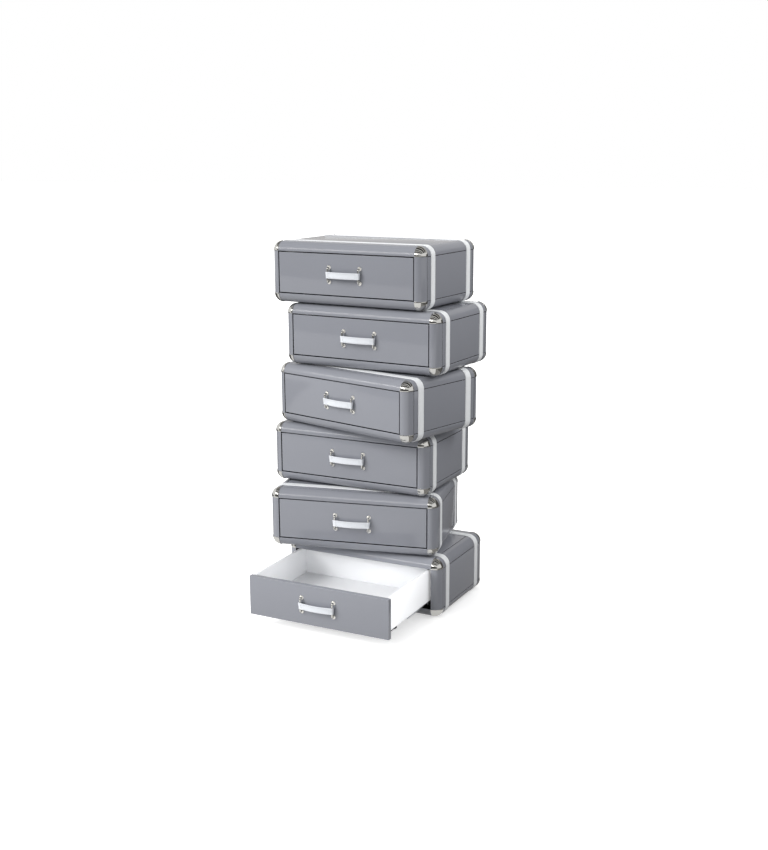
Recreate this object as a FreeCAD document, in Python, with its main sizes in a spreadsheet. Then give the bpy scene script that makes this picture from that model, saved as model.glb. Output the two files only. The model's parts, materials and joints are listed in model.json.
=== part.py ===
import FreeCAD
import Part
import Sketcher
import math
import os
import re

# A tall chest made of six suitcase-like cases, stacked and each turned its own way.
# Every case holds one drawer on telescopic under-mounted rails; the lowest drawer stands open.
# Millimetres, +Z up, fronts towards -Y, origin on the floor under the middle of the lowest case.

CASES = range(1, 7)
QUARTER_TURN = 90
HEXAGON_SIDES = 6

# The driving sizes, one cell each.
SIZES = {
    # case
    "case_width": 620,
    "case_depth": 402,
    "case_height": 216,
    "moulding_radius": 33,
    "moulding_joint": 0.3,
    "board_thickness": 18,
    "board_chamfer": 1.5,
    "cap_thickness": 1.5,
    "cap_fit": 0.1,
    "strap_setback": 56,
    "strap_width": 29,
    "strap_thickness": 1.8,
    "strap_fit": 0.1,
    "strap_clearance": 0.2,
    # drawer
    "drawer_gap": 4,
    "front_thickness": 18,
    "front_chamfer": 1.2,
    "side_inset": 5,
    "drawer_board": 10,
    "drawer_bottom": 8,
    "runner_space": 29,
    "bottom_recess": 7,
    "back_clearance": 4,
    "back_board_inset": 2,
    "back_board_drop": 2,
    # rails under the drawer
    "rail_setback": 3,
    "rail_rear_clearance": 9,
    "open_rail_overlap": 23,
    "rail_width": 30,
    "rail_height": 12,
    "rail_sheet": 1.5,
    "rail_lip": 4,
    "rail_running_gap": 0.4,
    "rail_parting": 2,
    "rail_side_gap": 1,
    "rail_web": 4,
    "clip_length": 57,
    "clip_head": 20,
    "clip_arm": 5,
    "clip_width": 9,
    "clip_depth": 8,
    "clip_inset": 0.5,
    # handle
    "handle_pitch": 125,
    "handle_standoff": 9.5,
    "stud_pitch": 50,
    "stud_radius": 8,
    "stud_height": 4,
    "rod_radius": 3.5,
    "rod_bend": 5,
    "rod_fit": 0.2,
    "nut_radius": 6.3,
    "nut_height": 4,
    "band_height": 22,
    "band_thickness": 3.8,
    "band_bow": 14,
    # what joins one case to the next, and the floor
    "bolt_bearer_gap": 78,
    "bolt_radius": 3,
    "bolt_fit": 0.3,
    "bolt_head_radius": 6.5,
    "bolt_head_height": 4,
    "bolt_nut_height": 5,
    "spacer_radius": 30,
    "glide_height": 4,
    "glide_radius": 12,
    "glide_taper": 1,
    "glide_margin": 3,
    "cut_overrun": 5,
    # where each case stands on the one below, and its angle in degrees
    "case_2_x": -56,
    "case_2_y": -49.5,
    "case_2_angle": 12.1,
    "case_3_x": -55,
    "case_3_y": 1.5,
    "case_3_angle": 0.2,
    "case_4_x": -1.5,
    "case_4_y": -62,
    "case_4_angle": -14.5,
    "case_5_x": 15,
    "case_5_y": -14,
    "case_5_angle": -3.3,
    "case_6_x": -39,
    "case_6_y": -12.5,
    "case_6_angle": -3.9,
}

# Sizes that follow from the driving ones, as formulas in a case's own frame:
# middle of the case at x = y = 0, its underside at z = 0, its front at -Y.
FRONT_Y = "(-case_depth / 2)"
PANEL_X = "(case_width / 2 - moulding_radius)"
PANEL_Y = "(case_depth / 2 - moulding_radius)"
PANEL_TOP = "(case_height - moulding_radius)"
STRAP_REACH = "(strap_fit + strap_thickness)"
CASE_GAP = f"(2 * {STRAP_REACH} + strap_clearance)"
CASE_PITCH = f"(case_height + {CASE_GAP})"
DRAWER_X = f"({PANEL_X} - drawer_gap)"
DRAWER_TOP = f"({PANEL_TOP} - drawer_gap)"
SIDE_X = f"({DRAWER_X} - side_inset)"
SIDE_INNER_X = f"({SIDE_X} - drawer_board)"
DRAWER_FRONT = f"({FRONT_Y} + front_thickness)"
DRAWER_BACK = "(case_depth / 2 - board_thickness - back_clearance)"
SIDE_BASE = "(moulding_radius + runner_space)"
BOX_FLOOR = f"({SIDE_BASE} + bottom_recess)"
RAIL_STACK = "(2 * rail_height + rail_parting)"
RAIL_BASE = f"({BOX_FLOOR} - {RAIL_STACK})"
RAIL_X = f"({SIDE_INNER_X} - rail_side_gap - rail_width / 2)"
RAIL_FRONT = f"({DRAWER_FRONT} + rail_setback)"
RAIL_REAR = f"({DRAWER_BACK} - rail_rear_clearance)"
RAIL_LENGTH = f"({RAIL_REAR} - {RAIL_FRONT})"
OPEN_REACH = f"({RAIL_LENGTH} - open_rail_overlap)"
ROD_Y = f"({FRONT_Y} - handle_standoff)"
ROD_BORE = "(rod_radius + rod_fit)"
HANDLE_Z = "(case_height / 2)"
LOOP_RADIUS = f"({ROD_BORE} + band_thickness / 2)"
BOW_RISE = f"(band_bow - {LOOP_RADIUS})"
BOW_RADIUS = f"(((handle_pitch / 2) ^ 2 + band_bow ^ 2 - {LOOP_RADIUS} ^ 2) / (2 * {BOW_RISE}))"
BOW_ANGLE = f"asin(handle_pitch / 2 / ({BOW_RADIUS} - {LOOP_RADIUS}))"
DOME_RADIUS = "((stud_radius ^ 2 + stud_height ^ 2) / (2 * stud_height))"
BOLT_BORE = "(bolt_radius + bolt_fit)"
BOLT_X = f"({RAIL_X} - rail_width / 2 - bolt_bearer_gap)"
STRAP_INNER_Y = "(case_depth / 2 - strap_setback - strap_width)"

ALONG_X = FreeCAD.Vector(1, 0, 0)
ALONG_Y = FreeCAD.Vector(0, 1, 0)
ALONG_Z = FreeCAD.Vector(0, 0, 1)

doc = FreeCAD.newDocument("chest")
sheet = doc.addObject("Spreadsheet::Sheet", "Sizes")
for row, (alias, size) in enumerate(SIZES.items(), start=1):
    sheet.set(f"A{row}", alias.replace("_", " "))
    sheet.set(f"B{row}", str(size))
    sheet.setAlias(f"B{row}", alias)
doc.recompute()
nodes = []


# Helpers that bind sizes and places to the sheet

def linked(formula):
    """The formula with every size's name pointed at its cell."""
    return re.sub(r"[a-z]\w*", lambda word: f"Sizes.{word[0]}" if word[0] in SIZES else word[0], formula)


def value(formula):
    """The number that a formula gives now."""
    return float(sheet.evalExpression(linked(formula)))


def bind(item, prop, formula):
    """Tie one property of an object to a formula."""
    item.setExpression(prop, linked(formula))


def seat(item, x="0", y="0", z="0", rotation=None):
    """Place an object: its place by formulas, its attitude by a fixed rotation."""
    if rotation:
        item.Placement = FreeCAD.Placement(FreeCAD.Vector(), rotation)
    for axis, formula in zip("xyz", (x, y, z)):
        bind(item, f"Placement.Base.{axis}", formula)
    return item


def facing(across, up):
    """The rotation that takes X to across and Y to up."""
    return FreeCAD.Rotation(across, up, across.cross(up), "ZXY")


def quadrant(first, second, along):
    """The rotation that takes Z to along and the X-Y quadrant to the one between first and second."""
    if first.cross(second).dot(along) > 0:
        return facing(first, second)
    return facing(second, first)


def block(name, low, high):
    """A rectangular piece between two corners."""
    piece = doc.addObject("Part::Box", name)
    for prop, start, end in zip(("Length", "Width", "Height"), low, high):
        bind(piece, prop, f"({end}) - ({start})")
    return seat(piece, *low)


def rod(name, radius, length, x, y, z, along=ALONG_Z):
    """A round piece that starts at a point and runs along a direction."""
    piece = doc.addObject("Part::Cylinder", name)
    bind(piece, "Radius", radius)
    bind(piece, "Height", length)
    return seat(piece, x, y, z, FreeCAD.Rotation(ALONG_Z, along))


def hexagon(name, radius, length, x, y, z, along=ALONG_Z):
    """A six-sided piece, such as a nut or a bolt's head."""
    piece = doc.addObject("Part::Prism", name)
    piece.Polygon = HEXAGON_SIDES
    bind(piece, "Circumradius", radius)
    bind(piece, "Height", length)
    return seat(piece, x, y, z, FreeCAD.Rotation(ALONG_Z, along))


def cut(name, base, tool):
    """One piece with another taken out of it."""
    piece = doc.addObject("Part::Cut", name)
    piece.Base = base
    piece.Tool = tool
    return piece


def fuse(name, pieces):
    """Several forms made into one piece."""
    piece = doc.addObject("Part::MultiFuse", name)
    piece.Shapes = pieces
    piece.Refine = True
    return piece


def group(name, pieces, x="0", y="0", z="0", turn="0"):
    """Separate pieces kept together, placed and turned about the upright axis."""
    gathered = doc.addObject("Part::Compound", name)
    gathered.Links = pieces
    gathered.Placement = FreeCAD.Placement(FreeCAD.Vector(), FreeCAD.Rotation(ALONG_Z, 0))
    bind(gathered, "Placement.Rotation.Angle", turn)
    return seat(gathered, x, y, z)


def case_place(number):
    """Where a case stands: x, y, underside and the angle that it is turned by."""
    underside = f"glide_height + {number - 1} * {CASE_PITCH}"
    if number == CASES[0]:
        return "0", "0", underside, "0"
    return f"case_{number}_x", f"case_{number}_y", underside, f"case_{number}_angle"


def in_case(name, pieces, number, drawn="0"):
    """Pieces of one case or drawer, carried from the case's own frame to its place in the stack."""
    x, y, underside, turn = case_place(number)
    return group(
        name, pieces, f"{x} + sin({turn}) * {drawn}", f"{y} - cos({turn}) * {drawn}", underside, turn
    )


def node(item):
    """Keep an object as one named sub-part."""
    item.Label = item.Name
    nodes.append(item)
    return item


# Helpers that draw outlines and raise bodies from them

def add_arc(sketch, start, stop, radius, turns_left):
    """A rounded stretch of under half a circle; returns its number and its ends in drawing order."""
    middle = (start + stop) / 2
    chord = stop - start
    leftward = FreeCAD.Vector(-chord.y, chord.x, 0).normalize()
    rise = math.sqrt(radius ** 2 - (chord.Length / 2) ** 2)
    centre = middle + leftward * (rise if turns_left else -rise)
    first, last = (start, stop) if turns_left else (stop, start)
    begin = math.atan2(first.y - centre.y, first.x - centre.x)
    sweep = (math.atan2(last.y - centre.y, last.x - centre.x) - begin) % (2 * math.pi)
    circle = Part.Circle(centre, ALONG_Z, radius)
    number = sketch.addGeometry(Part.ArcOfCircle(circle, begin, begin + sweep), False)
    return (number, 1, 2) if turns_left else (number, 2, 1)


def hold(sketch, constraint, formula):
    """Add a constraint whose size is a formula."""
    number = sketch.addConstraint(constraint)
    name = f"size_{number}"
    sketch.renameConstraint(number, name)
    bind(sketch, f"Constraints.{name}", formula)


def outline(sketch, points, arcs=None):
    """A closed outline through points; an arc gives a stretch's radius and whether it turns left."""
    arcs = arcs or {}
    spots = [FreeCAD.Vector(value(x), value(y), 0) for x, y in points]
    runs = []
    for index, start in enumerate(spots):
        stop = spots[(index + 1) % len(spots)]
        if index in arcs:
            radius, turns_left = arcs[index]
            runs.append(add_arc(sketch, start, stop, value(radius), turns_left))
        else:
            runs.append((sketch.addGeometry(Part.LineSegment(start, stop), False), 1, 2))
    for here, following in zip(runs, runs[1:] + runs[:1]):
        sketch.addConstraint(
            Sketcher.Constraint("Coincident", here[0], here[2], following[0], following[1])
        )
    for (number, first, _), spot, (x, y) in zip(runs, spots, points):
        hold(sketch, Sketcher.Constraint("DistanceX", -1, 1, number, first, spot.x), x)
        hold(sketch, Sketcher.Constraint("DistanceY", -1, 1, number, first, spot.y), y)
    for index, (radius, _) in arcs.items():
        hold(sketch, Sketcher.Constraint("Radius", runs[index][0], value(radius)), radius)


def new_sketch(body, plane):
    """An empty sketch on one of a body's own planes."""
    sketch = body.newObject("Sketcher::SketchObject", f"{body.Name}_outline")
    support = next(part for part in body.Origin.OriginFeatures if part.Role == plane)
    sketch.AttachmentSupport = [(support, "")]
    sketch.MapMode = "FlatFace"
    return sketch


def raised(name, outlines, length):
    """A body raised along Z from its outlines, each a list of points and its arcs."""
    body = doc.addObject("PartDesign::Body", name)
    sketch = new_sketch(body, "XY_Plane")
    for points, arcs in outlines:
        outline(sketch, points, arcs)
    pad = body.newObject("PartDesign::Pad", f"{name}_pad")
    pad.Profile = sketch
    bind(pad, "Length", length)
    doc.recompute()
    return body


def quarter_turned(name, points, arcs):
    """A body swept a quarter turn about Z, from +X to +Y, from an outline of radius and height."""
    body = doc.addObject("PartDesign::Body", name)
    sketch = new_sketch(body, "XZ_Plane")
    outline(sketch, points, arcs)
    sweep = body.newObject("PartDesign::Revolution", f"{name}_sweep")
    sweep.Profile = sketch
    sweep.ReferenceAxis = (sketch, ["V_Axis"])
    sweep.Angle = QUARTER_TURN
    doc.recompute()
    return body


def rectangle(width, height):
    """The corners of a rectangle about the origin."""
    return [
        (f"-{width} / 2", f"-{height} / 2"),
        (f"{width} / 2", f"-{height} / 2"),
        (f"{width} / 2", f"{height} / 2"),
        (f"-{width} / 2", f"{height} / 2"),
    ]


def rounded_rectangle(half_width, half_height, radius):
    """A rectangle about the origin with quarter-round corners, and its arcs."""
    flat_x = f"({half_width} - {radius})"
    flat_y = f"({half_height} - {radius})"
    points = [
        (f"-{flat_x}", f"-{half_height}"),
        (flat_x, f"-{half_height}"),
        (half_width, f"-{flat_y}"),
        (half_width, flat_y),
        (flat_x, half_height),
        (f"-{flat_x}", half_height),
        (f"-{half_width}", flat_y),
        (f"-{half_width}", f"-{flat_y}"),
    ]
    return points, {index: (radius, True) for index in (1, 3, 5, 7)}


def board(name, width, height, thickness, chamfer):
    """A board lying on Z = 0 with the edges of its upper face chamfered."""
    body = raised(name, [(rectangle(width, height), None)], thickness)
    pad = body.Tip
    faces = pad.Shape.Faces
    upper = max(range(len(faces)), key=lambda index: faces[index].CenterOfMass.z)
    edges = body.newObject("PartDesign::Chamfer", f"{name}_chamfer")
    edges.Base = (pad, [f"Face{upper + 1}"])
    bind(edges, "Size", chamfer)
    doc.recompute()
    return body


# The case: five boards between twelve quarter-round mouldings

def case_boards():
    """Top, bottom, left, right and back boards, their chamfered faces outwards."""
    width = f"(2 * {PANEL_X})"
    depth = f"(2 * {PANEL_Y})"
    height = f"({PANEL_TOP} - moulding_radius)"
    finish = ("board_thickness", "board_chamfer")
    middle = "case_height / 2"
    top = seat(board("top_board", width, depth, *finish), z="case_height - board_thickness")
    bottom = seat(
        board("bottom_board", width, depth, *finish),
        z="board_thickness",
        rotation=facing(ALONG_X, -ALONG_Y),
    )
    left = seat(
        board("left_board", depth, height, *finish),
        x="board_thickness - case_width / 2",
        z=middle,
        rotation=facing(-ALONG_Y, ALONG_Z),
    )
    right = seat(
        board("right_board", depth, height, *finish),
        x="case_width / 2 - board_thickness",
        z=middle,
        rotation=facing(ALONG_Y, ALONG_Z),
    )
    back = seat(
        board("back_board", width, height, *finish),
        y="case_depth / 2 - board_thickness",
        z=middle,
        rotation=facing(-ALONG_X, ALONG_Z),
    )
    return top, bottom, [left, right, back]


def moulding_bar(name, along, first, second, length, x, y, z):
    """A quarter-round bar with its axis on the inner corner."""
    bar = doc.addObject("Part::Cylinder", name)
    bind(bar, "Radius", "moulding_radius")
    bind(bar, "Height", length)
    bar.Angle = QUARTER_TURN
    return seat(bar, x, y, z, quadrant(first, second, along))


def edge_mouldings():
    """Four bars across, four bars front to back and four upright posts with round ends."""
    pieces = []
    across = f"(2 * ({PANEL_X} - moulding_joint))"
    deep = f"(2 * ({PANEL_Y} - moulding_joint))"
    levels = (("lower", -1, "moulding_radius"), ("upper", 1, PANEL_TOP))
    for level, up, height in levels:
        for side, out in (("front", -1), ("back", 1)):
            pieces.append(
                moulding_bar(
                    f"{level}_{side}_bar",
                    ALONG_X,
                    ALONG_Y * out,
                    ALONG_Z * up,
                    across,
                    f"moulding_joint - {PANEL_X}",
                    f"{out} * {PANEL_Y}",
                    height,
                )
            )
        for side, out in (("left", -1), ("right", 1)):
            pieces.append(
                moulding_bar(
                    f"{level}_{side}_bar",
                    ALONG_Y,
                    ALONG_X * out,
                    ALONG_Z * up,
                    deep,
                    f"{out} * {PANEL_X}",
                    f"moulding_joint - {PANEL_Y}",
                    height,
                )
            )
    profile = [
        ("0", "0"),
        ("moulding_radius", "moulding_radius"),
        ("moulding_radius", PANEL_TOP),
        ("0", "case_height"),
    ]
    rounding = {0: ("moulding_radius", True), 2: ("moulding_radius", True)}
    for side, right in (("left", -1), ("right", 1)):
        for end, back in (("front", -1), ("back", 1)):
            post = quarter_turned(f"{end}_{side}_post", profile, rounding)
            attitude = quadrant(ALONG_X * right, ALONG_Y * back, ALONG_Z)
            pieces.append(
                seat(post, f"{right} * {PANEL_X}", f"{back} * {PANEL_Y}", rotation=attitude)
            )
    return pieces


def corner_caps():
    """Eight pressed-metal shells over the round ends of the posts."""
    inner = "(moulding_radius + cap_fit)"
    outer = f"({inner} + cap_thickness)"
    profile = [(inner, "0"), (outer, "0"), ("0", outer), ("0", inner)]
    rounding = {1: (outer, True), 3: (inner, False)}
    pieces = []
    for level, up, height in (("lower", -1, "moulding_radius"), ("upper", 1, PANEL_TOP)):
        for side, right in (("left", -1), ("right", 1)):
            for end, back in (("front", -1), ("back", 1)):
                cap = quarter_turned(f"{level}_{end}_{side}_cap", profile, rounding)
                attitude = quadrant(ALONG_X * right, ALONG_Y * back, ALONG_Z * up)
                pieces.append(
                    seat(cap, f"{right} * {PANEL_X}", f"{back} * {PANEL_Y}", height, attitude)
                )
    return pieces


def straps():
    """Two flat bands that go right round the case, near its front and its back."""
    def loop(reach):
        return rounded_rectangle(
            f"(case_width / 2 + {reach})", f"(case_height / 2 + {reach})", f"(moulding_radius + {reach})"
        )

    pieces = []
    places = (
        ("front_strap", f"{FRONT_Y} + strap_setback + strap_width"),
        ("rear_strap", "case_depth / 2 - strap_setback"),
    )
    for name, rear_edge in places:
        strap = raised(name, [loop(STRAP_REACH), loop("strap_fit")], "strap_width")
        pieces.append(seat(strap, y=rear_edge, z="case_height / 2", rotation=facing(ALONG_X, ALONG_Z)))
    return pieces


# The drawer: a front, four boards, rails and a handle

def drawer_front():
    """The front board, bored for the handle."""
    width = f"(2 * {DRAWER_X})"
    height = f"({DRAWER_TOP} - moulding_radius - drawer_gap)"
    blank = seat(
        board("front_blank", width, height, "front_thickness", "front_chamfer"),
        y=DRAWER_FRONT,
        z=HANDLE_Z,
        rotation=facing(ALONG_X, ALONG_Z),
    )
    bores = [
        rod(
            f"{name}_bore",
            ROD_BORE,
            "front_thickness + 2 * cut_overrun",
            x,
            f"{FRONT_Y} - cut_overrun",
            z,
            ALONG_Y,
        )
        for name, x, z in stud_places()
    ]
    return cut("front_board", blank, group("front_bores", bores))


def drawer_boards():
    """Two sides, a floor held above their lower edges and a back that stands on the floor."""
    inner = SIDE_INNER_X
    back_face = f"({DRAWER_BACK} - back_board_inset)"
    inside_back = f"({back_face} - drawer_board)"
    floor_top = f"({BOX_FLOOR} + drawer_bottom)"
    return [
        block(
            "left_side",
            (f"-{SIDE_X}", DRAWER_FRONT, SIDE_BASE),
            (f"-{inner}", DRAWER_BACK, DRAWER_TOP),
        ),
        block("right_side", (inner, DRAWER_FRONT, SIDE_BASE), (SIDE_X, DRAWER_BACK, DRAWER_TOP)),
        block(
            "drawer_back",
            (f"-{inner}", inside_back, floor_top),
            (inner, back_face, f"{DRAWER_TOP} - back_board_drop"),
        ),
        block(
            "drawer_floor",
            (f"-{inner}", DRAWER_FRONT, BOX_FLOOR),
            (inner, f"{back_face} - back_board_inset", floor_top),
        ),
    ]


def channel_profile():
    """A lipped channel, open upwards, its base on Y = 0."""
    half = "(rail_width / 2)"
    wall = f"({half} - rail_sheet)"
    lip = f"({wall} - rail_lip)"
    under_lip = "(rail_height - rail_sheet)"
    right = [
        (half, "0"),
        (half, "rail_height"),
        (lip, "rail_height"),
        (lip, under_lip),
        (wall, under_lip),
        (wall, "rail_sheet"),
    ]
    return right + [(f"-{x}", y) for x, y in reversed(right)]


def slider_profile():
    """The middle rail: a web with a broad head in each of the two channels."""
    head = "(rail_width / 2 - rail_sheet - rail_running_gap)"
    web = "(rail_web / 2)"
    low = "(rail_sheet + rail_running_gap)"
    shoulder = "(rail_height - rail_sheet - rail_running_gap)"
    right = [
        (head, low),
        (head, shoulder),
        (web, shoulder),
        (web, f"({RAIL_STACK} - {shoulder})"),
        (head, f"({RAIL_STACK} - {shoulder})"),
        (head, f"({RAIL_STACK} - {low})"),
    ]
    return right + [(f"-{x}", y) for x, y in reversed(right)]


def rails():
    """Left and right pairs: rails fixed in the case, middle rails, and rails under the drawer."""
    fixed, middle, carried = [], [], []
    upright = facing(ALONG_X, ALONG_Z)
    inverted = facing(-ALONG_X, -ALONG_Z)
    for side, out in (("left", -1), ("right", 1)):
        x = f"{out} * {RAIL_X}"
        lower = raised(f"{side}_case_rail", [(channel_profile(), None)], RAIL_LENGTH)
        fixed.append(seat(lower, x, RAIL_REAR, RAIL_BASE, upright))
        slider = raised(f"{side}_middle_rail", [(slider_profile(), None)], RAIL_LENGTH)
        middle.append(seat(slider, x, RAIL_REAR, RAIL_BASE, upright))
        upper = raised(f"{side}_drawer_rail", [(channel_profile(), None)], RAIL_LENGTH)
        carried.append(seat(upper, x, RAIL_REAR, BOX_FLOOR, inverted))
    return fixed, middle, carried


def bearers():
    """Two battens on the case's bottom board that carry the fixed rails."""
    inner = f"({RAIL_X} - rail_width / 2)"
    outer = f"({RAIL_X} + rail_width / 2)"
    rear = PANEL_Y
    front = f"-{PANEL_Y}"
    return [
        block("left_bearer", (f"-{outer}", front, "board_thickness"), (f"-{inner}", rear, RAIL_BASE)),
        block("right_bearer", (inner, front, "board_thickness"), (outer, rear, RAIL_BASE)),
    ]


def front_clips():
    """The catches behind the front, under the drawer's sides: a thin arm that ends in a deeper head."""
    neck = "(clip_length - clip_head)"
    profile = [
        ("0", "-clip_arm"),
        (neck, "-clip_arm"),
        (f"{neck} + clip_depth - clip_arm", "-clip_depth"),
        ("clip_length", "-clip_depth"),
        ("clip_length", "0"),
        ("0", "0"),
    ]
    places = (
        ("left_clip", f"clip_inset - {SIDE_X}"),
        ("right_clip", f"{SIDE_X} - clip_inset - clip_width"),
    )
    attitude = facing(ALONG_Y, ALONG_Z)
    return [
        seat(raised(name, [(profile, None)], "clip_width"), x, DRAWER_FRONT, SIDE_BASE, attitude)
        for name, x in places
    ]


def stud_places():
    """The four studs of a handle: name, x and z."""
    return [
        (f"{level}_{side}", f"{right} * handle_pitch / 2", f"{HANDLE_Z} + {up} * stud_pitch / 2")
        for level, up in (("lower", -1), ("upper", 1))
        for side, right in (("left", -1), ("right", 1))
    ]


def staple(side, right):
    """A bent rod: an upright bar in front of the drawer and two legs through its front."""
    x = f"{right} * handle_pitch / 2"
    bend_y = f"({ROD_Y} + rod_bend)"
    straight = "(stud_pitch / 2 - rod_bend)"
    leg = f"nut_height + front_thickness + {FRONT_Y} - {bend_y}"
    forms = [
        rod(
            f"{side}_bar", "rod_radius", f"2 * {straight}", x, ROD_Y, f"{HANDLE_Z} - {straight}"
        )
    ]
    for level, up in (("lower", -1), ("upper", 1)):
        leg_z = f"{HANDLE_Z} + {up} * stud_pitch / 2"
        forms.append(rod(f"{side}_{level}_leg", "rod_radius", leg, x, bend_y, leg_z, ALONG_Y))
        bend = doc.addObject("Part::Torus", f"{side}_{level}_bend")
        bind(bend, "Radius1", "rod_bend")
        bind(bend, "Radius2", "rod_radius")
        bend.Angle3 = QUARTER_TURN
        bend_z = f"{HANDLE_Z} + {up} * {straight}"
        forms.append(seat(bend, x, bend_y, bend_z, facing(-ALONG_Y, ALONG_Z * up)))
    return fuse(f"{side}_staple", forms)


def stud(name, x, z):
    """A domed rose round one leg of a staple."""
    dome = doc.addObject("Part::Sphere", f"{name}_dome")
    bind(dome, "Radius", DOME_RADIUS)
    bind(dome, "Angle1", f"asin(1 - stud_height / {DOME_RADIUS})")
    sunk = f"({DOME_RADIUS} - stud_height)"
    seat(dome, x, f"{FRONT_Y} + {sunk}", z, FreeCAD.Rotation(ALONG_Z, -ALONG_Y))
    reach = "stud_height + 2 * cut_overrun"
    bore_y = f"{FRONT_Y} - stud_height - cut_overrun"
    bore = rod(f"{name}_rose_bore", ROD_BORE, reach, x, bore_y, z, ALONG_Y)
    return cut(f"{name}_rose", dome, bore)


def leg_nut(name, x, z):
    """The nut that holds one leg on the inside of the front."""
    blank = hexagon(f"{name}_nut_blank", "nut_radius", "nut_height", x, DRAWER_FRONT, z, ALONG_Y)
    reach = "nut_height + 2 * cut_overrun"
    bore_y = f"{DRAWER_FRONT} - cut_overrun"
    bore = rod(f"{name}_nut_bore", ROD_BORE, reach, x, bore_y, z, ALONG_Y)
    return cut(f"{name}_nut", blank, bore)


def handle_fittings():
    """Two staples, four roses and four nuts."""
    pieces = [staple("left", -1), staple("right", 1)]
    for name, x, z in stud_places():
        pieces.append(stud(name, x, z))
        pieces.append(leg_nut(name, x, z))
    return pieces


def handle_band():
    """A bowed band that runs smoothly into the loops at its ends, round the staples' bars."""
    low = f"{HANDLE_Z} - band_height / 2"
    centre_y = f"{ROD_Y} - band_bow + {BOW_RADIUS}"
    half = "band_thickness / 2"
    outer = rod("band_outer", f"{BOW_RADIUS} + {half}", "band_height", "0", centre_y, low)
    bind(outer, "Angle", f"2 * {BOW_ANGLE}")
    bind(outer, "Placement.Rotation.Angle", f"{3 * QUARTER_TURN} deg - {BOW_ANGLE}")
    inner_low = f"{low} - cut_overrun"
    inner_reach = "band_height + 2 * cut_overrun"
    inner = rod("band_inner", f"{BOW_RADIUS} - {half}", inner_reach, "0", centre_y, inner_low)
    forms = [cut("band_strip", outer, inner)]
    bores = []
    for side, right in (("left", -1), ("right", 1)):
        x = f"{right} * handle_pitch / 2"
        loop = f"{LOOP_RADIUS} + {half}"
        forms.append(rod(f"{side}_loop", loop, "band_height", x, ROD_Y, low))
        bores.append(rod(f"{side}_loop_bore", ROD_BORE, inner_reach, x, ROD_Y, inner_low))
    return cut("band", fuse("band_blank", forms), group("band_bores", bores))


# What joins one case to the next, in a frame on top of the lower case

def bolt_sets():
    """Two bolts with nuts, two spacer discs between the cases, and the bores for the bolts."""
    bolts, spacers, bores = [], [], []
    above = f"({CASE_GAP} + board_thickness)"
    bore_reach = f"{above} + board_thickness + 2 * cut_overrun"
    for side, right in (("left", -1), ("right", 1)):
        x = f"{right} * {BOLT_X}"
        bore_low = "-board_thickness - cut_overrun"
        bores.append(rod(f"{side}_bolt_bore", BOLT_BORE, bore_reach, x, "0", bore_low))
        head_low = "-board_thickness - bolt_head_height"
        head = hexagon(
            f"{side}_bolt_head", "bolt_head_radius", "bolt_head_height", x, "0", head_low
        )
        shank_reach = f"{above} + board_thickness + bolt_nut_height"
        shank = rod(f"{side}_shank", "bolt_radius", shank_reach, x, "0", "-board_thickness")
        bolts.append(fuse(f"{side}_bolt", [head, shank]))
        nut = hexagon(
            f"{side}_bolt_nut_blank", "bolt_head_radius", "bolt_nut_height", x, "0", above
        )
        bolts.append(cut(f"{side}_bolt_nut", nut, bores[-1]))
        disc = rod(f"{side}_disc", "spacer_radius", CASE_GAP, x, "0", "0")
        spacers.append(cut(f"{side}_spacer", disc, bores[-1]))
    return bolts, spacers, bores


def on_joint(name, pieces, lower):
    """Pieces carried to the joint above a case, half-way between it and the next one."""
    x, y, underside, turn = case_place(lower)
    next_x, next_y, _, next_turn = case_place(lower + 1)
    return group(
        name,
        pieces,
        f"({x} + {next_x}) / 2",
        f"({y} + {next_y}) / 2",
        f"{underside} + case_height",
        f"({turn} + {next_turn}) / 2",
    )


def floor_glides():
    """Five glides under the lowest case: one in the middle and four between its straps."""
    reach_x = f"({PANEL_X} - glide_margin - glide_radius)"
    reach_y = f"({STRAP_INNER_Y} - glide_margin - glide_radius)"
    places = [("0", "0")]
    places += [(f"{x} * {reach_x}", f"{y} * {reach_y}") for x in (-1, 1) for y in (-1, 1)]
    pieces = []
    for number, (x, y) in enumerate(places, start=1):
        glide = doc.addObject("Part::Cone", f"glide_{number}")
        bind(glide, "Radius1", "glide_radius - glide_taper")
        bind(glide, "Radius2", "glide_radius")
        bind(glide, "Height", "glide_height")
        pieces.append(seat(glide, x, y))
    return pieces


# One of each piece is made in the case's own frame, then carried to each place in the stack

top_board, bottom_board, wall_boards = case_boards()
mouldings = edge_mouldings()
caps = corner_caps()
strap_pair = straps()
front_board = drawer_front()
box_boards = drawer_boards()
case_rails, middle_rails, drawer_rails = rails()
bearer_pair = bearers()
clips = front_clips()
fittings = handle_fittings()
band = handle_band()
bolts, spacers, bolt_bores = bolt_sets()

bored = {
    number: on_joint(f"bores_above_{number}", bolt_bores, number) for number in CASES[:-1]
}
for number in CASES:
    top = in_case(f"top_{number}", [top_board], number)
    bottom = in_case(f"bottom_{number}", [bottom_board], number)
    walls = in_case(f"walls_{number}", wall_boards, number)
    if number in bored:
        top = cut(f"bored_top_{number}", top, bored[number])
    if number - 1 in bored:
        bottom = cut(f"bored_bottom_{number}", bottom, bored[number - 1])
    node(group(f"case_{number}_carcass", [top, bottom, walls]))
    node(in_case(f"case_{number}_edge_mouldings", mouldings, number))
    node(in_case(f"case_{number}_straps", strap_pair, number))

    drawn = OPEN_REACH if number == CASES[0] else "0"
    node(in_case(f"drawer_{number}_front", [front_board], number, drawn))
    node(in_case(f"drawer_{number}_box", box_boards, number, drawn))
    node(in_case(f"drawer_{number}_rails", drawer_rails + clips, number, drawn))
    node(in_case(f"drawer_{number}_handle_band", [band], number, drawn))
    node(in_case(f"drawer_{number}_handle_fittings", fittings, number, drawn))
    node(in_case(f"middle_rails_{number}", middle_rails, number, f"{drawn} / 2"))

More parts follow.
